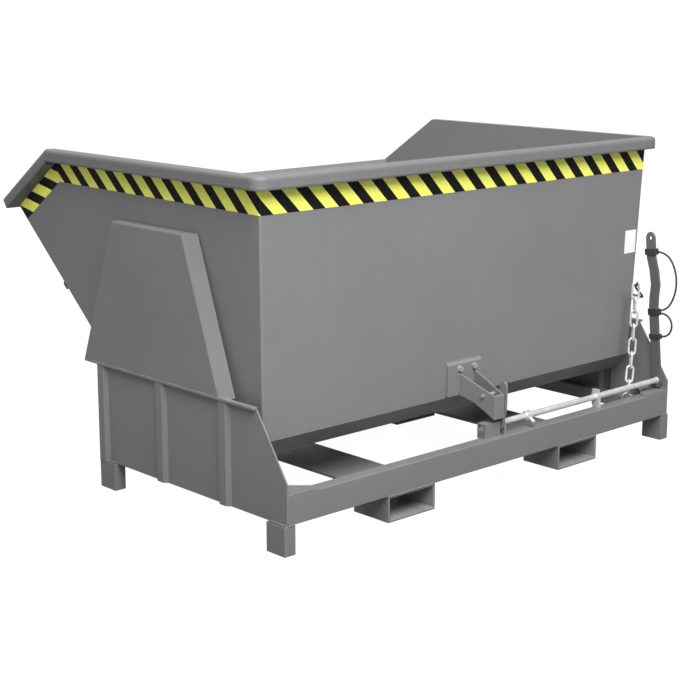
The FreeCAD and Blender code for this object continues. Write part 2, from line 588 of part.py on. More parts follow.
def hex_bolts(name, spots, across, head, length, hole_dir=-1):
    """Hexagon heads with washers on a face that looks along -Y."""
    solids = []
    for x, y, z in spots:
        pts = [V(x + across / 1.7320508 * math.cos(math.radians(30 + 60 * k)), y, z + across / 1.7320508 * math.sin(math.radians(30 + 60 * k)))
               for k in range(6)]
        hexa = Part.Face(Part.makePolygon(pts + pts[:1])).extrude(V(0, -head, 0))
        washer = Part.makeCylinder(across * 0.62, 2.0, V(x, y, z), V(0, -1, 0))
        hexa.translate(V(0, -2.0, 0))
        solids.append(washer.fuse(hexa).removeSplitter())
    o = doc.addObject("Part::Feature", name)
    o.Shape = Part.makeCompound(solids)
    return o


face = D.cp_face.v
node(hex_bolts("catch_bolts_", [(-50, face, 428), (24, face, 428)], 19, 8, 0), "catch_bolts")
node(prism("blank_plate_", "YZ_Plane", [[(wall_at(D.label_z0) - 1.2, D.label_z0), (wall_at(D.label_z0), D.label_z0), (wall_at(D.label_z1), D.label_z1),
                                         (wall_at(D.label_z1) - 1.2, D.label_z1)]], D.label_x0, D.label_x1), "blank_plate")

# ---------------------------------------------------------------- latch on the frame
bt = D.leg_h + D.beam_h
boss_block = box("boss_block", D.boss_x0, D.boss_x1, D.shaft_y - D.boss_r - 5, D.shaft_y + D.boss_r, bt, D.shaft_z + D.boss_r - 2)
boss_bore = rod("boss_bore", "x", (D.boss_x0 - 10, D.shaft_y, D.shaft_z), D.boss_x1 - D.boss_x0 + 20, D.shaft_r + D.run_gap)
node(cut("shaft_boss_", boss_block, boss_bore), "shaft_boss")
# low cheek on the hook's other side: carries the shaft close to the load
up = D.cheek_up
cheek = prism("cheek_block", "YZ_Plane",
              [[(D.beam_y0 + 12, bt), (D.beam_y0 + D.beam_d, bt), (D.shaft_y + 21, D.shaft_z + 6), (D.shaft_y + 13, D.shaft_z + up),
                (D.shaft_y - 13, D.shaft_z + up), (D.shaft_y - 21, D.shaft_z + 6)]],
              D.cheek_x0, D.cheek_x1, [(D.shaft_y, D.shaft_z, D.shaft_r + D.run_gap)])
node(cheek, "latch_cheek")

bear = prism("shaft_bearing_", "YZ_Plane",
             [[(D.shaft_y - 20, bt), (D.shaft_y + 8, bt), (D.shaft_y + 18, D.shaft_z - 10), (D.shaft_y + 18, D.shaft_z + 8), (D.shaft_y + 13, D.shaft_z + 16),
               (D.shaft_y + 13, D.shaft_z + 29), (D.shaft_y - 13, D.shaft_z + 29), (D.shaft_y - 13, D.shaft_z + 16), (D.shaft_y - 18, D.shaft_z + 8),
               (D.shaft_y - 18, D.shaft_z - 10)]],
             D.bear_b - D.bear_t / 2, D.bear_b + D.bear_t / 2, [(D.shaft_y, D.shaft_z, D.shaft_r + D.run_gap)])
node(bear, "shaft_bearing")

# ---------------------------------------------------------------- release shaft with hook and hand lever
shaft = rod("shaft_bar", "x", (D.shaft_x0, D.shaft_y, D.shaft_z), D.shaft_x1 - D.shaft_x0, D.shaft_r)
node(shaft, "release_shaft")

# hook outline round the shaft; the nose closes over the pin's circle when the lever is set to locked
reach = qsqrt((D.pin_y - D.shaft_y) * (D.pin_y - D.shaft_y) + (D.pin_z - D.shaft_z) * (D.pin_z - D.shaft_z)) + D.pin_r + 1
ring_out = [(26 * math.cos(math.radians(g)), 26 * math.sin(math.radians(g))) for g in range(-175, 62, 20)]
arc_in = [(-math.sin(math.radians(g)), math.cos(math.radians(g))) for g in (13, 10.5, 8, 4.6)]
hook_pts = [(D.shaft_y - 26, D.shaft_z)] + [(D.shaft_y + a, D.shaft_z + b) for a, b in ring_out]
hook_pts += [(D.shaft_y + 2, D.shaft_z + 34), (D.shaft_y - 14, D.shaft_z + 52), (D.shaft_y - 26, D.shaft_z + 74), (D.shaft_y - 27, D.shaft_z + 108)]
hook_pts += [(D.shaft_y + a * reach, D.shaft_z + b * reach) for a, b in arc_in]
hook_pts += [(D.shaft_y - 10, D.shaft_z + 142), (D.shaft_y - 16, D.shaft_z + 152), (D.shaft_y - 28, D.shaft_z + 155), (D.shaft_y - 37, D.shaft_z + 150),
             (D.shaft_y - 40, D.shaft_z + 138), (D.shaft_y - 38, D.shaft_z + 60)]
hook = prism("hook_plate", "YZ_Plane", [hook_pts], D.hook_x0, D.hook_x1)
pocket(hook, "hook_bore", "YZ_Plane", [], D.hook_x0 - 20, D.hook_x1 + 20, [(D.shaft_y, D.shaft_z, D.shaft_r)])
node(hook, "latch_hook")

sa, ca = qsin(D.lever_lean), qcos(D.lever_lean)


def lever_at(u, v):
    """u up the lever from the shaft, v across it towards +Y."""
    return (D.shaft_y + sa * u + ca * v, D.shaft_z + ca * u - sa * v)


hw = D.lever_w / 2
SET = [(290, 0), (332, -5), (379, -14), (436, -10), (486, 0)]      # the bar is set slightly to the rear above its middle
lev = prism("lever_bar", "YZ_Plane",
            [[lever_at(-26, -hw + 8), lever_at(-26, hw - 8), lever_at(-12, hw)] + [lever_at(u, hw + v) for u, v in SET]
             + [lever_at(D.lever_u, hw), lever_at(D.lever_u + 14, hw - 7), lever_at(D.lever_u + 20, hw - 18), lever_at(D.lever_u + 20, 18 - hw),
                lever_at(D.lever_u + 14, 7 - hw), lever_at(D.lever_u, -hw)] + [lever_at(u, v - hw) for u, v in SET[::-1]] + [lever_at(-12, -hw)]],
            D.lever_x0, D.lever_x1)
eye_y, eye_z = lever_at(D.lever_u - 4, 0)
pocket(lev, "lever_holes", "YZ_Plane", [], D.lever_x0 - 20, D.lever_x1 + 20,
       [(D.shaft_y, D.shaft_z, D.shaft_r), (eye_y, eye_z, q(8))])
node(lev, "hand_lever")


def band(name, u0, u1, grow, x0, x1):
    """A strap round the lever."""
    w = hw + grow
    o = prism(name + "_o", "YZ_Plane", [[lever_at(u0, -w), lever_at(u0, w), lever_at(u1, w), lever_at(u1, -w)]], x0, x1)
    return pocket(o, name + "_slot", "YZ_Plane", [[lever_at(u0 - 9, -hw), lever_at(u0 - 9, hw), lever_at(u1 + 9, hw), lever_at(u1 + 9, -hw)]],
                  D.lever_x0, D.lever_x1)


node(band("rope_collar_", 496, 520, 5, D.lever_x0 - 5, D.lever_x1 + 8.9), "rope_collar")
node(band("rope_clip_mid_", 258, 284, 4, D.lever_x0 - 4, D.lever_x1 + 8.9), "rope_clip_mid")
node(band("rope_clip_low_", 164, 184, 4, D.lever_x0 - 4, D.lever_x1 + 8.9), "rope_clip_low")

stud = rod("stud_bar", "z", (q(193), D.shaft_y, D.shaft_z), q(38), q(7))
stud.Placement = FreeCAD.Placement(stud.Placement.Base, FreeCAD.Rotation(V(1, 0, 0), 122))
stud_collar = rod("stud_collar", "x", (q(181), D.shaft_y, D.shaft_z), q(24), q(17))
node(cut("shaft_stud_", fuse("stud_sum", stud, stud_collar), shaft), "shaft_stud")


# ---------------------------------------------------------------- cords, chain and hook rod (swept shapes)
def swept(points, radius):
    """Straight runs joined by tangent arcs, as a round bar."""
    pts = [V(*p) for p in points]
    edges, start, radii = [], pts[0], []
    for k in range(1, len(pts) - 1):
        a, b = (pts[k] - pts[k - 1]), (pts[k + 1] - pts[k])
        turn = a.getAngle(b)
        r = 0.45 * min(a.Length, b.Length) / math.tan(turn / 2)
        t = 0.45 * min(a.Length, b.Length)
        a.normalize()
        b.normalize()
        p0, p2 = pts[k] - a * t, pts[k] + b * t
        bis = b - a
        bis.normalize()
        mid = pts[k] + bis * (r / math.cos(turn / 2) - r)
        edges.append(Part.LineSegment(start, p0).toShape())
        edges.append(Part.Arc(p0, mid, p2).toShape())
        start = p2
        radii.append(r)
    edges.append(Part.LineSegment(start, pts[-1]).toShape())
    wire = Part.Wire(edges)
    first = pts[1] - pts[0]
    section = Part.Wire([Part.Circle(pts[0], first, radius).toShape()])
    solid = wire.makePipeShell([section], True, True)
    want = math.pi * radius * radius * wire.Length
    print("swept: length %.1f, radii %s, volume ratio %.4f" % (wire.Length, [round(r) for r in radii], solid.Volume / want))
    return solid


def feature(name, shape):
    o = doc.addObject("Part::Feature", name)
    o.Shape = shape
    return o


rx = D.rope_x.v
lv = lambda u, v: (rx, lever_at(q(u), q(v))[0].v, lever_at(q(u), q(v))[1].v)
ROPE_A = [lv(508, -22), (rx, -744, 741), (rx, -776, 723), (rx, -799, 686), (rx, -810, 640), (rx, -807, 592), (rx, -791, 550), (rx, -767, 520), lv(275, -21)]
ROPE_B = [(rx, -738.6, 502), (rx, -763, 502), (rx, -784.4, 489.7), (rx, -796.7, 468.3), (rx, -796.7, 443.7), (rx, -784.4, 422.3), (rx, -763, 410), (rx, -738.8, 410)]
print("rope ends", lv(508, -22), lv(275, -21))
node(feature("pull_rope_", swept(ROPE_A, D.rope_r.v)), "pull_rope")
node(feature("rope_tail_", swept(ROPE_B, D.rope_r.v)), "rope_tail")

# chain of long links from the eye behind the rear beam up to the hook rod
t, dw, bw = D.link_t.v, D.link_d.v, D.link_b.v
rc = (bw + dw) / 2
sl = (t + dw) / 2 - rc


def link():
    w = Part.Wire([
        Part.LineSegment(V(rc, 0, -sl), V(rc, 0, sl)).toShape(),
        Part.Arc(V(rc, 0, sl), V(0, 0, sl + rc), V(-rc, 0, sl)).toShape(),
        Part.LineSegment(V(-rc, 0, sl), V(-rc, 0, -sl)).toShape(),
        Part.Arc(V(-rc, 0, -sl), V(0, 0, -sl - rc), V(rc, 0, -sl)).toShape()])
    return w.makePipeShell([Part.Wire([Part.Circle(V(rc, 0, -sl), V(0, 0, 1), dw / 2).toShape()])], True, True)


eye = V(D.eye_x.v, D.eye_y.v, D.eye_z.v)
EYE_R, EYE_W = 16.0, 5.0
p = eye + V(-1.0, -0.5, EYE_R - EYE_W - dw / 2 - 1.6)
LEAN = [(0.33, 0.12), (0.25, 0.10), (0.19, 0.08), (0.14, 0.06), (0.09, 0.04), (0.06, 0.02), (0.03, 0.0), (0.02, 0.0)]
FACE, THROUGH = V(0.735, -0.678, 0), V(0.678, 0.735, 0)      # the links hang turned about the upright
step = t - 0.6
links = []
base_link = link()
pos = None
for k, (lx, ly) in enumerate(LEAN):
    axis = V(lx, ly, 1)
    axis.normalize()
    if k == 0:
        pos = p + axis * ((t + dw) / 2)
        side = THROUGH
    else:
        prev = V(LEAN[k - 1][0], LEAN[k - 1][1], 1)
        prev.normalize()
        pos = pos + prev * (step / 2) + axis * (step / 2)
        side = FACE if k % 2 else THROUGH
    side = side - axis * side.dot(axis)
    side.normalize()
    third = axis.cross(side)
    mat = FreeCAD.Matrix(side.x, third.x, axis.x, pos.x, side.y, third.y, axis.y, pos.y, side.z, third.z, axis.z, pos.z, 0, 0, 0, 1)
    piece = base_link.copy()
    piece.Placement = FreeCAD.Placement(mat)
    links.append(piece)
for k in range(len(links) - 1):
    shared = links[k].common(links[k + 1]).Volume
    if shared > 1e-6:
        print("links %d and %d share %.3f" % (k, k + 1, shared))
node(feature("safety_chain_", Part.makeCompound(links)), "safety_chain")
top = pos + axis * (t / 2 - D.hookrod_r.v - 0.4)
print("chain top", top)

ring = doc.addObject("Part::Torus", "chain_ring")
ring.Radius1, ring.Radius2 = EYE_R, EYE_W
ring.Placement = FreeCAD.Placement(eye, FreeCAD.Rotation(V(0, 0, 1), THROUGH))
lug = box("chain_lug", D.eye_x + 4, D.eye_x + 20, D.beam_y0 + D.beam_d, D.eye_y - 8, D.eye_z - 15, D.eye_z + 8)
node(fuse("chain_eye_", ring, lug), "chain_eye")

# bent hook rod from the right guard's rear return; its nose carries the top link
hr = D.hookrod_r.v
gy = D.guard_b0.v + (566 - 458) * (D.guard_u0.v - D.guard_b0.v) / 512.0 - D.guard_splay.v * (D.guard_out.v - 982) / (D.guard_out.v - D.guard_in.v)
HOOKROD = [(982, gy + 13, 566), (982, gy - 26, 566), (961, gy - 62, 565), (959.5, -630, 562), (952, -684, 557),
           (top.x + 24, top.y + 16, top.z - 16), (top.x + 9, top.y + 9.8, top.z - 1.5), (top.x - 12, top.y - 13, top.z + 1.5), (top.x - 19, top.y - 20, top.z + 17)]
guard_obj = dict(NODES)["guard_right"]
doc.recompute()
hook_bar = max(swept(HOOKROD, hr).cut(guard_obj.Shape).Solids, key=lambda piece: piece.Volume)
node(feature("chain_hook_", hook_bar), "chain_hook")

doc.recompute()

# ---------------------------------------------------------------- checks and export
bad = []
for o in doc.Objects:
    if "Invalid" in o.State or "Error" in o.State:
        bad.append("%s %s" % (o.Name, o.State))
for label, o in NODES:
    if o.Shape.isNull() or not o.Shape.isValid() or not o.Shape.Solids:
        bad.append("bad shape " + label)
if bad:
    raise RuntimeError("; ".join(bad))

os.makedirs("parts", exist_ok=True)
whole = FreeCAD.BoundBox()
for label, o in NODES:
    o.Shape.exportStep("parts/%s.step" % label)
    whole.add(o.Shape.BoundBox)
    b = o.Shape.BoundBox
    print("%-22s %d solids  %9.0f cm3  x %.0f..%.0f y %.0f..%.0f z %.0f..%.0f" % (
        label, len(o.Shape.Solids), o.Shape.Volume / 1000, b.XMin, b.XMax, b.YMin, b.YMax, b.ZMin, b.ZMax))
print("overall", whole)
SKIP = ["rear_wall", "floor_pan", "floor_knuckle", "rim_corner_left", "rim_corner_right", "front_slope", "side_wall_left", "side_wall_right", "rim_rear", "rim_side_left", "rim_side_right",
        "rim_slant_left", "rim_slant_right", "lip_bar", "slope_stiffener", "roll_segment_left", "roll_segment_right",
        "catch_plate", "catch_arm", "striker_pin", "catch_bolts", "blank_plate"]
mass, moment = 0.0, V(0, 0, 0)
for label, o in NODES:
    if label in SKIP:
        for sol in o.Shape.Solids:
            mass += sol.Volume
            moment += sol.CenterOfMass * sol.Volume
print("skip steel %.1f kg, centre of mass" % (mass * 7.85e-6), moment * (1 / mass), "roll axis", D.roll_y.v, rz.v)
print("nodes", len(NODES))
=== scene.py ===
import bpy
import bmesh
import math
from mathutils import Matrix, Vector


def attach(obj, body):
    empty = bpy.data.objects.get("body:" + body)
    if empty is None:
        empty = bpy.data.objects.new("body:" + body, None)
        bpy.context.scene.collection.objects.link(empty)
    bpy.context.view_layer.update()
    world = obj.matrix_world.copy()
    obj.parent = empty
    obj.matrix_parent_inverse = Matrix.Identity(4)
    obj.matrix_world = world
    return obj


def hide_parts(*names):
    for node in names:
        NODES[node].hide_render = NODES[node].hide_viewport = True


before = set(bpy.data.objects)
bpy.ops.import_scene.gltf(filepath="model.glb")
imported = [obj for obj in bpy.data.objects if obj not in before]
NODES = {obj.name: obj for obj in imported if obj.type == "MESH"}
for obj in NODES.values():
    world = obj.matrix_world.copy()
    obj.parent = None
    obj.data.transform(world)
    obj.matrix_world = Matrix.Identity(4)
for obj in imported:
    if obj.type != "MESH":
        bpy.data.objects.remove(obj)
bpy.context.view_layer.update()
SCENE = bpy.context.scene
SCENE.view_settings.view_transform = "Standard"


# ------------------------------------------------------------------ camera
def look_at(obj, target):
    d = Vector(target) - obj.location
    obj.rotation_euler = d.to_track_quat("-Z", "Y").to_euler()


cam_data = bpy.data.cameras.new("camera")
cam = bpy.data.objects.new("camera", cam_data)
SCENE.collection.objects.link(cam)
cam.location = (-4.018, -4.308, 1.726)
look_at(cam, (0.0, 0.045, 0.41368))
cam_data.lens = 83.0
cam_data.sensor_width = 36.0
cam_data.sensor_fit = "HORIZONTAL"
cam_data.clip_start, cam_data.clip_end = 0.1, 100.0
SCENE.camera = cam


# ------------------------------------------------------------------ material helpers
class Mat:
    """A small wrapper that builds one procedural material."""

    def __init__(self, name):
        self.m = bpy.data.materials.new(name)
        self.m.use_nodes = True
        self.t = self.m.node_tree
        self.t.nodes.clear()
        self.out = self.t.nodes.new("ShaderNodeOutputMaterial")
        self.b = self.t.nodes.new("ShaderNodeBsdfPrincipled")
        self.t.links.new(self.b.outputs["BSDF"], self.out.inputs["Surface"])
        self.co = self.t.nodes.new("ShaderNodeTexCoord")

    def link(self, a, b):
        self.t.links.new(a, b)

    def noise(self, scale, detail=4.0, rough=0.55, vec=None, distortion=0.0):
        n = self.t.nodes.new("ShaderNodeTexNoise")
        n.inputs["Scale"].default_value = scale
        n.inputs["Detail"].default_value = detail
        n.inputs["Roughness"].default_value = rough
        n.inputs["Distortion"].default_value = distortion
        self.link(vec if vec is not None else self.co.outputs["Object"], n.inputs["Vector"])
        return n.outputs["Fac"]

    def wave(self, scale, distortion=0.0, vec=None, direction="DIAGONAL"):
        n = self.t.nodes.new("ShaderNodeTexWave")
        n.bands_direction = direction
        n.inputs["Scale"].default_value = scale
        n.inputs["Distortion"].default_value = distortion
        self.link(vec if vec is not None else self.co.outputs["Object"], n.inputs["Vector"])
        return n.outputs["Fac"]

    def mapped(self, scale, rot=(0, 0, 0)):
        n = self.t.nodes.new("ShaderNodeMapping")
        n.inputs["Scale"].default_value = scale
        n.inputs["Rotation"].default_value = rot
        self.link(self.co.outputs["Object"], n.inputs["Vector"])
        return n.outputs["Vector"]

    def ramp(self, fac, stops):
        n = self.t.nodes.new("ShaderNodeValToRGB")
        e = n.color_ramp.elements
        while len(e) < len(stops):
            e.new(0.5)
        for el, (p, c) in zip(e, stops):
            el.position = p
            el.color = (c, c, c, 1) if isinstance(c, (int, float)) else (*c, 1)
        self.link(fac, n.inputs["Fac"])
        return n.outputs["Color"]

    def mix(self, fac, a, b, kind="MIX"):
        n = self.t.nodes.new("ShaderNodeMix")
        n.data_type = "RGBA"
        n.blend_type = kind
        if isinstance(fac, (int, float)):
            n.inputs["Factor"].default_value = fac
        else:
            self.link(fac, n.inputs["Factor"])
        for sock, v in ((n.inputs[6], a), (n.inputs[7], b)):
            if isinstance(v, tuple):
                sock.default_value = (*v, 1)
            else:
                self.link(v, sock)
        return n.outputs[2]

    def math(self, op, a, b=None, c=None, clamp=False):
        n = self.t.nodes.new("ShaderNodeMath")
        n.operation = op
        n.use_clamp = clamp
        for k, v in enumerate((a, b, c)):
            if v is None:
                continue
            if isinstance(v, (int, float)):
                n.inputs[k].default_value = v
            else:
                self.link(v, n.inputs[k])
        return n.outputs[0]

    def bump(self, height, strength, distance, round_over=0.0):
        n = self.t.nodes.new("ShaderNodeBump")
        n.inputs["Strength"].default_value = strength
        n.inputs["Distance"].default_value = distance
        self.link(height, n.inputs["Height"])
        if round_over:
            # level folds that shade as round ones: only the normal's slope comes from the bevel, so butt joints stay flush
            soft = self.t.nodes.new("ShaderNodeBevel")
            soft.samples = 8
            soft.inputs["Radius"].default_value = round_over
            flat = self.t.nodes.new("ShaderNodeNewGeometry")
            a = self.t.nodes.new("ShaderNodeSeparateXYZ")
            b = self.t.nodes.new("ShaderNodeSeparateXYZ")
            c = self.t.nodes.new("ShaderNodeCombineXYZ")
            unit = self.t.nodes.new("ShaderNodeVectorMath")
            unit.operation = "NORMALIZE"
            self.link(flat.outputs["Normal"], a.inputs[0])
            self.link(soft.outputs["Normal"], b.inputs[0])
            self.link(a.outputs["X"], c.inputs["X"])
            self.link(a.outputs["Y"], c.inputs["Y"])
            self.link(b.outputs["Z"], c.inputs["Z"])
            self.link(c.outputs[0], unit.inputs[0])
            self.link(unit.outputs[0], n.inputs["Normal"])
        self.link(n.outputs["Normal"], self.b.inputs["Normal"])

    def edges(self, radius, samples=4):
        """0 on open faces, rising towards folds and cut edges within the radius."""
        b = self.t.nodes.new("ShaderNodeBevel")
        b.samples = samples
        b.inputs["Radius"].default_value = radius
        g = self.t.nodes.new("ShaderNodeNewGeometry")
        d = self.t.nodes.new("ShaderNodeVectorMath")
        d.operation = "DOT_PRODUCT"
        self.link(b.outputs["Normal"], d.inputs[0])
        self.link(g.outputs["Normal"], d.inputs[1])
        return self.math("SUBTRACT", 1.0, d.outputs["Value"], clamp=True)

    def axis(self, name):
        n = self.t.nodes.new("ShaderNodeSeparateXYZ")
        self.link(self.co.outputs["Object"], n.inputs[0])
        return n.outputs[name]

    def up(self):
        """How far the face looks upwards, for dust that settles."""
        g = self.t.nodes.new("ShaderNodeNewGeometry")
        n = self.t.nodes.new("ShaderNodeSeparateXYZ")
        self.link(g.outputs["Normal"], n.inputs[0])
        return n.outputs["Z"]


def scaled(colour, k, add=0.0):
    return tuple(min(1.0, c * k + add) for c in colour)


def painted(name, colour, rough=0.40, spread=0.045, dust=0.30, peel=0.14, wear_and_highlight=0.55, pocket_inside_dust_and_light=None, round_over=0.0):
    """Powder coat on sheet steel: tone drift, faint run marks, settled dust, scuffs, rubbed edges with a painted edge
    highlight, painted shade towards the floor, painted light with dust inside the fork pockets, orange peel.
    """
    m = Mat(name)
    tone = m.ramp(m.noise(2.1, 3.0, 0.6), [(0.25, scaled(colour, 1 - spread)), (0.75, scaled(colour, 1 + spread))])
    run = m.ramp(m.noise(4.0, 5.0, 0.6, m.mapped((11.0, 11.0, 0.7))), [(0.48, 0.0), (0.82, 0.30)])
    tone = m.mix(run, tone, scaled(colour, 1.18))
    low = m.math("MULTIPLY_ADD", m.axis("Z"), -2.8, 0.66, True)
    grime = m.math("MULTIPLY", low, m.ramp(m.noise(13.0, 6.0, 0.65), [(0.38, 0.0), (0.74, dust)]))
    tone = m.mix(grime, tone, scaled(colour, 0.55, 0.012))
    settle = m.math("MULTIPLY", m.math("MULTIPLY_ADD", m.up(), 1.6, -0.8, True), m.ramp(m.noise(21.0, 6.0, 0.7), [(0.35, 0.05), (0.75, 0.38)]))
    tone = m.mix(settle, tone, scaled(colour, 1.25, 0.03))
    foot = m.math("MULTIPLY_ADD", m.axis("Z"), -1.35, 0.53, True)      # painted shade: darker towards the floor
    tone = m.mix(foot, tone, scaled(colour, 0.70))
    scuff = m.ramp(m.noise(34.0, 8.0, 0.72, m.mapped((1.0, 1.0, 0.3), (0.4, 0.2, 0.0))), [(0.67, 0.0), (0.79, 0.30)])
    tone = m.mix(scuff, tone, scaled(colour, 1.40, 0.015))
    # rubbed paint and a painted highlight: edges and folds lighter
    edge_wear_and_highlight = m.math("MULTIPLY", m.ramp(m.edges(0.004), [(0.03, 0.0), (0.22, wear_and_highlight)]), m.ramp(m.noise(46.0, 6.0, 0.7), [(0.34, 0.15), (0.62, 1.0)]))
    tone = m.mix(edge_wear_and_highlight, tone, scaled(colour, 1.55, 0.035))
    if pocket_inside_dust_and_light is not None:
        # painted light with dust and rubbed steel: the inner faces that the fork tines slide along are lighter in
        # patches, lifting their shade
        off = m.math("ABSOLUTE", m.math("SUBTRACT", m.math("ABSOLUTE", m.axis("X")), 0.437))
        z = m.axis("Z")
        pocket_inside_mask = m.math("MULTIPLY", m.math("LESS_THAN", off, 0.1045), m.math("MULTIPLY", m.math("GREATER_THAN", z, 0.0145), m.math("LESS_THAN", z, 0.0935)))
        patchy_dust_and_light = m.ramp(m.noise(6.0, 6.0, 0.65, m.mapped((9.0, 1.0, 9.0))), [(0.30, 0.35), (0.68, 1.0)])
        tone = m.mix(m.math("MULTIPLY", pocket_inside_mask, patchy_dust_and_light), tone, pocket_inside_dust_and_light)
    m.link(tone, m.b.inputs["Base Color"])
    r = m.ramp(m.noise(14.0, 5.0, 0.6), [(0.3, rough - 0.05), (0.7, rough + 0.09)])
    m.link(r, m.b.inputs["Roughness"])
    m.b.inputs["Specular IOR Level"].default_value = 0.45
    fine = m.noise(430.0, 2.0, 0.5)
    dent = m.noise(5.5, 2.0, 0.5)
    m.bump(m.math("ADD", m.math("MULTIPLY", fine, 0.22), m.math("MULTIPLY", dent, 5.0)), peel, 0.0006, round_over)
    return m.m


def metal(name, colour, rough, tint=None, grain=(60.0, 60.0, 900.0), metallic=0.92):
    """Plated or machined steel: drawn grain, cloudy passivation, dull spots and brighter edges."""
    m = Mat(name)
    cloud = m.noise(38.0, 5.0, 0.65)
    tone = m.ramp(cloud, [(0.3, scaled(colour, 0.82)), (0.7, scaled(colour, 1.10))])
    if tint is not None:
        tone = m.mix(m.ramp(m.noise(17.0, 4.0, 0.6), [(0.45, 0.0), (0.75, 0.35)]), tone, tint)
    spot = m.ramp(m.noise(140.0, 6.0, 0.7), [(0.62, 0.0), (0.74, 0.45)])
    tone = m.mix(spot, tone, scaled(colour, 0.45))
    tone = m.mix(m.ramp(m.edges(0.0022), [(0.04, 0.0), (0.3, 0.5)]), tone, scaled(colour, 1.3))
    m.link(tone, m.b.inputs["Base Color"])
    m.b.inputs["Metallic"].default_value = metallic
    lines = m.noise(1.0, 3.0, 0.5, m.mapped(grain))
    m.link(m.ramp(m.math("ADD", m.math("MULTIPLY", cloud, 0.6), m.math("MULTIPLY", lines, 0.4)), [(0.3, rough - 0.07), (0.7, rough + 0.12)]), m.b.inputs["Roughness"])
    m.bump(lines, 0.12, 0.0003)
    return m.m


def moulded(name, colour):
    """Matt black plastic with a fine spark-eroded texture and paler rubbed edges."""
    m = Mat(name)
    tone = m.ramp(m.noise(90.0, 5.0, 0.6), [(0.3, scaled(colour, 0.8)), (0.7, scaled(colour, 1.25))])
    tone = m.mix(m.ramp(m.edges(0.0016), [(0.05, 0.0), (0.3, 0.55)]), tone, scaled(colour, 2.4, 0.01))
    m.link(tone, m.b.inputs["Base Color"])
    m.link(m.ramp(m.noise(240.0, 3.0), [(0.3, 0.48), (0.7, 0.62)]), m.b.inputs["Roughness"])
    m.bump(m.noise(900.0, 2.0), 0.25, 0.0002)
    return m.m


def sheathed(name, colour):
    """Braided cord sheath: two crossing sets of strands in relief, dust on the crowns."""
    m = Mat(name)
    a = m.wave(62.0, 0.4, m.mapped((0.6, 1.0, 1.0)))
    b = m.wave(62.0, 0.4, m.mapped((0.6, 1.0, -1.0)))
    weave = m.math("MAXIMUM", a, b)
    tone = m.ramp(weave, [(0.35, scaled(colour, 0.45)), (0.95, scaled(colour, 1.7, 0.008))])
    tone = m.mix(m.ramp(m.noise(120.0, 5.0), [(0.55, 0.0), (0.75, 0.3)]), tone, scaled(colour, 3.0, 0.02))
    m.link(tone, m.b.inputs["Base Color"])
    m.link(m.ramp(weave, [(0.2, 0.85), (0.9, 0.62)]), m.b.inputs["Roughness"])
    m.b.inputs["Sheen Weight"].default_value = 0.25
    m.bump(weave, 0.6, 0.0008)
    return m.m


def film(name, colour, soil, rough=0.34, gloss=0.5, fade=0.10):
    """Printed adhesive film: slight fading, fine scratches, dirt at the edges, soft wrinkles from laying."""
    m = Mat(name)
    tone = m.ramp(m.noise(7.0, 4.0, 0.6), [(0.3, scaled(colour, 0.93)), (0.7, scaled(colour, 1.05))])
    tone = m.mix(m.ramp(m.noise(70.0, 7.0, 0.72), [(0.60, 0.0), (0.76, 0.28)]), tone, soil)
    scratch = m.ramp(m.noise(22.0, 6.0, 0.7, m.mapped((1.0, 1.0, 14.0), (0.6, 0.3, 0.2))), [(0.66, 0.0), (0.74, 0.22)])
    tone = m.mix(scratch, tone, scaled(colour, 0.8, fade))
    tone = m.mix(m.ramp(m.edges(0.0015), [(0.05, 0.0), (0.4, 0.4)]), tone, soil)
    m.link(tone, m.b.inputs["Base Color"])
    m.link(m.ramp(m.noise(30.0, 5.0), [(0.3, rough - 0.06), (0.7, rough + 0.12)]), m.b.inputs["Roughness"])
    m.b.inputs["Specular IOR Level"].default_value = gloss
    m.bump(m.math("ADD", m.math("MULTIPLY", m.noise(18.0, 3.0, 0.5, m.mapped((1.0, 1.0, 3.0))), 3.0), m.math("MULTIPLY", m.noise(500.0, 2.0), 0.2)), 0.16, 0.0005)
    return m.m


GREY = painted("grey_powder_coat", (0.180, 0.180, 0.182))
POCKET = painted("grey_powder_coat_pocket", (0.180, 0.180, 0.182), pocket_inside_dust_and_light=(0.24, 0.238, 0.232))
# painted shade: a darker copy of the grey paint for the rim pieces
RIM_SHADED = painted("grey_powder_coat_rim", (0.150, 0.150, 0.152), rough=0.5, round_over=0.016)
DARK = painted("dark_lever_paint", (0.105, 0.106, 0.109), rough=0.36, wear_and_highlight=0.75)
ZINC = metal("zinc_plate", (0.74, 0.74, 0.745), 0.36, tint=(0.70, 0.68, 0.62), metallic=0.55)
DULL = metal("dull_zinc", (0.40, 0.40, 0.405), 0.44, metallic=0.45)
STEEL = metal("machined_steel", (0.42, 0.42, 0.43), 0.32, grain=(700.0, 40.0, 40.0), metallic=1.0)
PLASTIC = moulded("matt_black_plastic", (0.030, 0.030, 0.032))
ROPE = sheathed("braided_black_cord", (0.020, 0.020, 0.022))
LABEL = film("blank_white_film", (0.86, 0.86, 0.85), (0.55, 0.53, 0.48))
YELLOW = film("yellow_tape_film", (0.90, 0.93, 0.150), (0.46, 0.44, 0.10))
BLACK = film("black_tape_film", (0.007, 0.007, 0.008), (0.028, 0.027, 0.025), rough=0.46, gloss=0.16, fade=0.025)

FINISH = {}
for n in ("release_shaft", "safety_chain", "chain_eye", "striker_pin", "catch_bolts", "shaft_bearing", "shaft_stud", "guide_bar_left", "guide_bar_right"):
    FINISH[n] = ZINC
for n in ("guide_shoe_left", "guide_shoe_right"):
    FINISH[n] = STEEL
for n in ("hand_lever", "chain_hook"):
    FINISH[n] = DARK
for n in ("rope_collar", "rope_clip_mid", "rope_clip_low"):
    FINISH[n] = PLASTIC
FINISH["blank_plate"] = LABEL
for n in ("catch_bolts", "striker_pin"):
    FINISH[n] = DULL
for n in NODES:
    if n.startswith("rim_"):
        FINISH[n] = RIM_SHADED
for n in ("fork_pocket_left", "fork_pocket_right"):
    FINISH[n] = POCKET
for n, o in NODES.items():
    o.data.materials.clear()
    o.data.materials.append(FINISH.get(n, GREY))

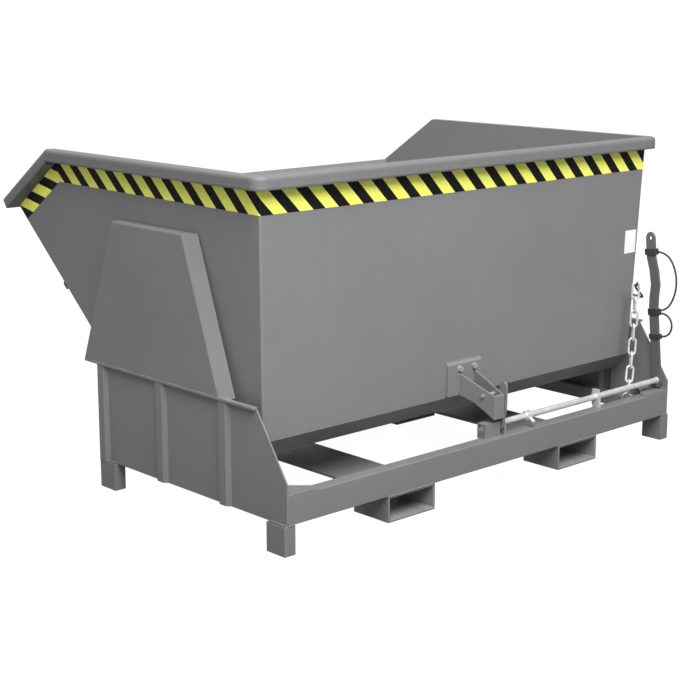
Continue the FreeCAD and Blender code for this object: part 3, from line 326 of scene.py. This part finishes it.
# square-edged bars, plates and boxes get a small broken edge
BROKEN = {"rear_beam": 3.0, "front_beam": 3.0, "fork_pocket_left": 2.0, "fork_pocket_right": 2.0, "side_sill_left": 2.0, "side_sill_right": 2.0,
          "leg_rear_left": 2.5, "leg_rear_right": 2.5, "leg_front_left": 2.5, "leg_front_right": 2.5, "corner_gusset_left": 1.2, "corner_gusset_right": 1.2,
          "track_left": 1.5, "track_right": 1.5, "guide_bar_left": 1.2, "guide_bar_right": 1.2, "lip_bar": 1.5, "slope_stiffener": 1.5, "catch_plate": 1.5,
          "rope_collar": 1.0, "rope_clip_mid": 1.0, "rope_clip_low": 1.0, "blank_plate": 0.25}
for n, w in BROKEN.items():
    o = NODES[n]
    weld = o.modifiers.new("join", "WELD")
    weld.merge_threshold = 0.00002
    bev = o.modifiers.new("broken_edge", "BEVEL")
    bev.width = w * 0.001
    bev.segments = 2
    bev.limit_method = "ANGLE"
    bev.angle_limit = math.radians(35)


# ------------------------------------------------------------------ mesh helpers
def new_piece(name, bm, materials, body, smooth=False):
    me = bpy.data.meshes.new(name)
    bmesh.ops.recalc_face_normals(bm, faces=bm.faces)
    for f in bm.faces:
        f.smooth = smooth
    bm.to_mesh(me)
    bm.free()
    o = bpy.data.objects.new(name, me)
    SCENE.collection.objects.link(o)
    for m in materials:
        me.materials.append(m)
    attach(o, body)
    return o


# ------------------------------------------------------------------ striped tape under the rim (millimetres until the vertices are made)
PITCH, SHARE = 108.4, 0.53
Z_TOP, Z_LOW = 1136.0, 1059.0
RISE = 0.00011
LIFT, SINK = 0.6, 0.25
CORNER = 10.0


def half_width(z):
    return 945.0 + (z - 334.0) * 23.0 / 727.0


def wall_y(z):
    return -646.0 + (1184.0 - z) * 26.0 / 857.0


W_MID = half_width(0.5 * (Z_TOP + Z_LOW))


def clipped(poly, a, b, c):
    """The part of a polygon where a*x + b*y >= c."""
    out = []
    for (x0, y0), (x1, y1) in zip(poly, poly[1:] + poly[:1]):
        d0, d1 = a * x0 + b * y0 - c, a * x1 + b * y1 - c
        if d0 >= 0:
            out.append((x0, y0))
        if (d0 > 0 > d1) or (d0 < 0 < d1):
            t = d0 / (d0 - d1)
            out.append((x0 + t * (x1 - x0), y0 + t * (y1 - y0)))
    tidy = []
    for p in out:
        if not tidy or math.dist(p, tidy[-1]) > 0.02:
            tidy.append(p)
    if len(tidy) > 1 and math.dist(tidy[0], tidy[-1]) <= 0.02:
        tidy.pop()
    return tidy if len(tidy) > 2 else []


def line_side(p, q, keep):
    """Half plane through p and q that keeps the point keep."""
    a, b = q[1] - p[1], p[0] - q[0]
    c = a * p[0] + b * p[1]
    return (a, b, c) if a * keep[0] + b * keep[1] >= c else (-a, -b, -c)


class Strip:
    """A thin closed strip of tape, striped face by face; place(u, v, off) gives the point in millimetres."""

    def __init__(self, place):
        self.place, self.index, self.params, self.faces, self.kind = place, {}, [], [], []

    def vert(self, p):
        k = (round(p[0], 1), round(p[1], 1))
        if k not in self.index:
            self.index[k] = len(self.params)
            self.params.append(p)
        return self.index[k]

    def add(self, poly, kind):
        ids = []
        for p in poly:
            i = self.vert(p)
            if i not in ids:
                ids.append(i)
        if len(ids) > 2:
            self.faces.append(ids)
            self.kind.append(kind)

    def split_edges(self):
        """Puts every vertex that lies on another face's side into that face, so that neighbours share their sides."""
        done = []
        for f in self.faces:
            g = []
            for i, j in zip(f, f[1:] + f[:1]):
                g.append(i)
                (x0, y0), (x1, y1) = self.params[i], self.params[j]
                L = math.dist((x0, y0), (x1, y1))
                on = []
                for k, (x, y) in enumerate(self.params):
                    if k in (i, j) or k in f:
                        continue
                    t = ((x - x0) * (x1 - x0) + (y - y0) * (y1 - y0)) / (L * L)
                    if 0 < t < 1 and abs((x - x0) * (y1 - y0) - (y - y0) * (x1 - x0)) / L < 0.05:
                        on.append((t, k))
                g += [k for t, k in sorted(on)]
            done.append(g)
        self.faces = done

    def piece(self, name):
        self.split_edges()
        bm = bmesh.new()
        top = [bm.verts.new(tuple(c * 0.001 for c in self.place(u, v, LIFT))) for u, v in self.params]
        low = [bm.verts.new(tuple(c * 0.001 for c in self.place(u, v, -SINK))) for u, v in self.params]
        sides = {}
        for f, kind in zip(self.faces, self.kind):
            face = bm.faces.new([top[i] for i in f])
            face.material_index = kind
            face = bm.faces.new([low[i] for i in reversed(f)])
            face.material_index = kind
            for i, j in zip(f, f[1:] + f[:1]):
                sides.setdefault((min(i, j), max(i, j)), []).append((i, j, kind))
        for used in sides.values():
            if len(used) == 1:
                i, j, kind = used[0]
                face = bm.faces.new((top[j], top[i], low[i], low[j]))
                face.material_index = kind
        return new_piece(name, bm, (YELLOW, BLACK), "skip")


def girdle(u, v, off):
    """u runs round the skip from the left front over the rear to the right front; 0 and 2 W_MID are the two rear corners."""
    away = max(0.0, -u - CORNER, u - 2 * W_MID - CORNER)
    v = Z_TOP - (Z_TOP - v) * (1 - RISE * away)      # the lower edge climbs a little towards the front
    w, y = half_width(v), wall_y(v)
    if u <= -CORNER:
        return (-w - off, y - u, v)
    if u < CORNER:
        g = math.radians(90) * (u + CORNER) / (2 * CORNER)
        return (-w + CORNER - (CORNER + off) * math.cos(g), y + CORNER - (CORNER + off) * math.sin(g), v)
    if u <= 2 * W_MID - CORNER:
        t = (u - CORNER) / (2 * W_MID - 2 * CORNER)
        return ((-w + CORNER) * (1 - t) + (w - CORNER) * t, y - off, v)
    if u < 2 * W_MID + CORNER:
        g = math.radians(90) * (u - 2 * W_MID + CORNER) / (2 * CORNER)
        return (w - CORNER + (CORNER + off) * math.sin(g), y + CORNER - (CORNER + off) * math.cos(g), v)
    return (w + off, y + (u - 2 * W_MID), v)


MITRE_HI, MITRE_LO = (485.0, Z_TOP), (470.0, Z_LOW)


def horizontal_tape():
    s = Strip(girdle)
    stops = [-1250.0, -CORNER] + [-CORNER + 2 * CORNER * k / 6 for k in range(1, 7)] + [2 * W_MID - CORNER] + [2 * W_MID - CORNER + 2 * CORNER * k / 6 for k in range(1, 7)] + [2 * W_MID + 1250.0]
    left = line_side((wall_y(MITRE_HI[1]) - MITRE_HI[0], MITRE_HI[1]), (wall_y(MITRE_LO[1]) - MITRE_LO[0], MITRE_LO[1]), (0.0, 1100.0))
    right = line_side((2 * W_MID + MITRE_HI[0] - wall_y(MITRE_HI[1]), MITRE_HI[1]), (2 * W_MID + MITRE_LO[0] - wall_y(MITRE_LO[1]), MITRE_LO[1]), (0.0, 1100.0))
    start = 12.0 + (1130.0 - Z_TOP) - 0.5 * SHARE * PITCH
    k0 = int(math.floor((-1300.0 - start) / PITCH)) - 1
    k1 = int(math.ceil((2 * W_MID + 1300.0 - start) / PITCH)) + 1
    h = Z_TOP - Z_LOW
    for k in range(k0, k1):
        for kind, a, b in ((0, 0.0, SHARE), (1, SHARE, 1.0)):
            u0, u1 = start + (k + a) * PITCH, start + (k + b) * PITCH
            cell = [(u0, Z_TOP), (u1, Z_TOP), (u1 + h, Z_LOW), (u0 + h, Z_LOW)]
            for lo, hi in zip(stops, stops[1:]):
                poly = clipped(clipped(cell, 1, 0, lo), -1, 0, -hi) if cell else []
                for plane in (left, right):
                    poly = clipped(poly, *plane) if poly else []
                if poly:
                    s.add(poly, kind)
    return s.piece("hazard_tape_level")


def slanted_tape(side):
    """The tape that follows the rim down to the lip on one side wall; u is Y and v is Z."""
    s = Strip(lambda u, v, off: (side * (half_width(v) + off), u, v))
    d = Vector((290.0, -197.0)).normalized()
    n = Vector((d.y, -d.x))
    right = -d if side < 0 else d
    o = Vector((500.0, 1184.0)) + n * 48.0
    h = 64.0
    planes = [line_side(MITRE_HI, (MITRE_LO[0], Z_LOW + 8.3), (700.0, 1000.0)), line_side((0.0, 266.0), (790.0, 994.0), (500.0, 1100.0))]
    shift = SLANT_PHASE[side]
    for k in range(-8, 9):
        for kind, a, b in ((0, 0.0, SHARE), (1, SHARE, 1.0)):
            u0, u1 = shift + (k + a) * PITCH, shift + (k + b) * PITCH
            poly = [tuple(o + right * u0), tuple(o + right * u1), tuple(o + right * (u1 + h) + n * h), tuple(o + right * (u0 + h) + n * h)]
            for plane in planes:
                poly = clipped(poly, *plane) if poly else []
            if poly:
                s.add(poly, kind)
    return s.piece("hazard_tape_slant_" + ("left" if side < 0 else "right"))


SLANT_PHASE = {-1: -225.7, 1: 62.0}
horizontal_tape()
slanted_tape(-1)
slanted_tape(1)


# ------------------------------------------------------------------ weld seams
def bead(bm, pts, r, closed=False, pitch=6.0):
    """One rippled weld bead along a line of points, in millimetres."""
    pts = [Vector(p) for p in pts]
    loop = pts + pts[:1] if closed else pts
    run = [0.0]
    for a, b in zip(loop, loop[1:]):
        run.append(run[-1] + (b - a).length)
    n = max(4, int(run[-1] / (pitch / 4)))
    rings = []
    count = n if closed else n + 1
    for k in range(count):
        d = run[-1] * k / n
        j = 0
        while j < len(run) - 2 and run[j + 1] < d:
            j += 1
        a, b = loop[j], loop[j + 1]
        t = (d - run[j]) / max(run[j + 1] - run[j], 1e-9)
        c = a.lerp(b, t)
        tan = (b - a).normalized()
        ref = Vector((0, 0, 1)) if abs(tan.z) < 0.9 else Vector((0, 1, 0))
        e1 = tan.cross(ref).normalized()
        e2 = tan.cross(e1)
        rr = r * (1 + 0.13 * math.sin(2 * math.pi * d / pitch) + 0.05 * math.sin(d * 0.37))
        if not closed:
            rr *= min(1.0, 0.35 + min(d, run[-1] - d) / (1.3 * r))
        rings.append([bm.verts.new((c + e1 * (rr * math.cos(g)) + e2 * (rr * math.sin(g))) * 0.001) for g in (2 * math.pi * i / 8 for i in range(8))])
    for k in range(count if closed else count - 1):
        p, q = rings[k], rings[(k + 1) % count]
        for i in range(8):
            bm.faces.new((p[i], p[(i + 1) % 8], q[(i + 1) % 8], q[i]))
    if not closed:
        bm.faces.new(rings[0])
        bm.faces.new(list(reversed(rings[-1])))


def stitches(bm, a, b, r, length, gap):
    """A broken seam: beads of a length with gaps between them."""
    a, b = Vector(a), Vector(b)
    whole = (b - a).length
    count = max(1, int((whole + gap) / (length + gap)))
    spare = whole - count * length - (count - 1) * gap
    d = (b - a).normalized()
    for k in range(count):
        s = a + d * (spare / 2 + k * (length + gap))
        bead(bm, [s, s + d * length], r)


def ring_bead(bm, x, y, z, radius, r):
    bead(bm, [(x, y + radius * math.cos(2 * math.pi * k / 28), z + radius * math.sin(2 * math.pi * k / 28)) for k in range(28)], r, True, 4.0)


def base_welds():
    bm = bmesh.new()
    for s in (-1, 1):
        # guard foot on its track, outside, and the guard's sloping returns
        stitches(bm, (s * 1003, -452, 458), (s * 1003, 293, 458), 1.7, 55, 95)
        bead(bm, [(s * 999, -470.5, 458.2), (s * 972, -509.5, 458.2)], 1.8)
        # track on the side plate
        stitches(bm, (s * 990.5, -630, 449.5), (s * 990.5, 280, 449.5), 2.0, 45, 120)
        # feet under the side plates
        bead(bm, [(s * 990.5, -783, 100.5), (s * 990.5, -697, 100.5)], 3.2)
        bead(bm, [(s * 990.5, 136, 100.5), (s * 990.5, 222, 100.5)], 3.2)
        bead(bm, [(s * 957, -784.5, 100), (s * 984, -784.5, 100)], 2.6)
        # rear beam against the side plate
        bead(bm, [(s * 984.5, -784, 103), (s * 984.5, -784, 193)], 2.6)
        # fork pockets under the two cross beams
        for x0, x1 in ((326, 548),):
            bead(bm, [(s * (x0 + 3), -784.6, 100), (s * (x1 - 3), -784.6, 100)], 2.8)
            bead(bm, [(s * x0, -783, 100.4), (s * x0, -737, 100.4)], 2.8)
            bead(bm, [(s * x1, -783, 100.4), (s * x1, -737, 100.4)], 2.8)
            bead(bm, [(s * (x0 + 3), -734.6, 110.4), (s * (x1 - 3), -734.6, 110.4)], 2.8)
            bead(bm, [(s * (x0 + 3), 173.6, 110.4), (s * (x1 - 3), 173.6, 110.4)], 2.8)
        # sills to the beams
        bead(bm, [(s * 939.5, -734.5, 102), (s * 939.5, -734.5, 148)], 2.8)
        bead(bm, [(s * 939.5, 173.5, 102), (s * 939.5, 173.5, 148)], 2.8)
    # pads of the boss, the latch cheek and the bearing on the rear beam
    for x0, x1, y0, y1 in LATCH_FEET:
        y1 = min(y1, -736.0)
        bead(bm, [(x0, y0, 195.3), (x1, y0, 195.3), (x1, y1, 195.3), (x0, y1, 195.3)], 2.2, True, 5.0)
    return new_piece("weld_seams_base", bm, (GREY,), "base_frame", True)


def skip_welds():
    bm = bmesh.new()
    for s in (-1, 1):
        # inside seams of the side walls on the floor and on the slope
        path = [(-612, 334), (-549, 263.6), (2, 263.6)]
        pts = [(s * (half_width(z) - 4.4), y, z) for y, z in path]
        for a, b in zip(pts, pts[1:]):
            bead(bm, [a, b], 3.4)
        stitches(bm, (s * (half_width(270) - 4.4), 6, 268.5), (s * (half_width(968) - 4.4), 766, 969.0), 3.4, 130, 70)
    # catch plate on the rear wall
    bead(bm, [(-108, wall_y(456) - 0.4, 456.3), (65, wall_y(456) - 0.4, 456.3)], 1.8)
    bead(bm, [(-110.3, wall_y(446) - 0.4, 446), (-110.3, wall_y(336) - 0.4, 336)], 1.8)
    bead(bm, [(67.3, wall_y(446) - 0.4, 446), (67.3, wall_y(336) - 0.4, 336)], 1.8)
    # catch arm on its plate
    bead(bm, [(-56.2, -634.4, 340), (-56.2, -634.4, 411)], 2.6)
    bead(bm, [(30.2, -634.4, 340), (30.2, -634.4, 411)], 2.6)
    return new_piece("weld_seams_skip", bm, (GREY,), "skip", True)


def release_welds():
    bm = bmesh.new()
    ring_bead(bm, 966, -745, 235, 11.4, 2.3)
    ring_bead(bm, 976, -745, 235, 11.4, 2.3)
    ring_bead(bm, 37, -745, 235, 11.4, 2.0)
    ring_bead(bm, 205, -745, 235, 11.4, 2.2)
    ring_bead(bm, 181, -745, 235, 11.4, 2.2)
    return new_piece("weld_seams_release", bm, (ZINC,), "release", True)


def foot_of(node, z=0.1952):
    """Outline of a node where it stands on the rear beam, in millimetres."""
    pts = [v.co for v in NODES[node].data.vertices if abs(v.co.z - z) < 0.0015]
    if not pts:
        return None
    m = NODES[node].matrix_world
    pts = [m @ p for p in pts]
    return (min(p.x for p in pts) * 1000, max(p.x for p in pts) * 1000, min(p.y for p in pts) * 1000, max(p.y for p in pts) * 1000)


LATCH_FEET = [f for f in (foot_of(n) for n in ("shaft_boss", "latch_cheek", "shaft_bearing")) if f is not None]
base_welds()
skip_welds()
release_welds()


# ------------------------------------------------------------------ cords
X_ROPE = 0.9804
ROUTE_A = [(X_ROPE, y, z) for y, z in ((-0.714665, 0.742570), (-0.744, 0.741), (-0.776, 0.723), (-0.799, 0.686), (-0.810, 0.640), (-0.807, 0.592), (-0.791, 0.550), (-0.767, 0.520), (-0.737621, 0.510702))]
ROUTE_B = [(X_ROPE, y, z) for y, z in ((-0.7386, 0.502), (-0.763, 0.502), (-0.7844, 0.4897), (-0.7967, 0.4683), (-0.7967, 0.4437), (-0.7844, 0.4223), (-0.763, 0.410), (-0.7388, 0.410))]


def cord(name, points, radius):
    cu = bpy.data.curves.new(name, "CURVE")
    cu.dimensions = "3D"
    sp = cu.splines.new("NURBS")
    sp.points.add(len(points) - 1)
    for p, co in zip(sp.points, points):
        p.co = (*co, 1.0)
    sp.order_u = 3
    sp.use_endpoint_u = True
    sp.resolution_u = 12
    cu.bevel_depth = radius
    cu.bevel_resolution = 4
    cu.use_fill_caps = True
    o = bpy.data.objects.new(name, cu)
    SCENE.collection.objects.link(o)
    o.data.materials.append(ROPE)
    return o


rope_a = cord("pull_rope_cord", ROUTE_A, 0.004)
rope_b = cord("rope_tail_cord", ROUTE_B, 0.004)
for o, node, route, length in ((rope_a, "pull_rope", ROUTE_A, 0.316), (rope_b, "rope_tail", ROUTE_B, 0.169)):
    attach(o, "release")
    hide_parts(node)


# ------------------------------------------------------------------ stage and light
def stage_floor():
    me = bpy.data.meshes.new("studio_floor")
    bm = bmesh.new()
    s = 14.0
    vs = [bm.verts.new(p) for p in ((-s, -s, 0), (s, -s, 0), (s, s, 0), (-s, s, 0))]
    bm.faces.new(vs)
    bm.to_mesh(me)
    bm.free()
    o = bpy.data.objects.new("studio_floor", me)
    SCENE.collection.objects.link(o)
    m = Mat("pale_floor")
    tone = m.ramp(m.noise(1.5, 4.0), [(0.3, 0.09), (0.7, 0.11)])
    m.link(tone, m.b.inputs["Base Color"])
    m.b.inputs["Roughness"].default_value = 0.9
    m.b.inputs["Specular IOR Level"].default_value = 0.1
    m.b.inputs["Emission Color"].default_value = (1, 1, 1, 1)
    seen = m.t.nodes.new("ShaderNodeLightPath")      # the floor looks white, yet throws less light back up than it shows
    m.link(m.math("MULTIPLY_ADD", seen.outputs["Is Camera Ray"], 0.80, 0.17), m.b.inputs["Emission Strength"])
    o.data.materials.append(m.m)


stage_floor()
world = bpy.data.worlds.new("studio")
SCENE.world = world
world.use_nodes = True
wt = world.node_tree
bg = wt.nodes["Background"]
bg.inputs["Color"].default_value = (1, 1, 1, 1)
bg.inputs["Strength"].default_value = 0.34
white = wt.nodes.new("ShaderNodeBackground")
white.inputs["Color"].default_value = (1, 1, 1, 1)
white.inputs["Strength"].default_value = 1.0
seen = wt.nodes.new("ShaderNodeLightPath")
pick = wt.nodes.new("ShaderNodeMixShader")
wt.links.new(seen.outputs["Is Camera Ray"], pick.inputs["Fac"])
wt.links.new(bg.outputs["Background"], pick.inputs[1])
wt.links.new(white.outputs["Background"], pick.inputs[2])
wt.links.new(pick.outputs["Shader"], wt.nodes["World Output"].inputs["Surface"])


def area(name, loc, target, size, power, colour=(1, 1, 1)):
    d = bpy.data.lights.new(name, "AREA")
    d.shape = "RECTANGLE"
    d.size, d.size_y = size
    d.energy = power
    d.color = colour
    o = bpy.data.objects.new(name, d)
    SCENE.collection.objects.link(o)
    o.location = loc
    look_at(o, target)
    return o


area("key", (-2.5, -4.9, 6.9), (0, -0.1, 0.6), (6.0, 5.0), 1270)
area("fill", (-3.1, -2.5, 2.2), (-0.96, -0.5, 0.75), (1.6, 1.6), 15)
area("front", (3.2, 6.0, 5.5), (0, 0.2, 0.6), (5.0, 4.0), 560).visible_glossy = False
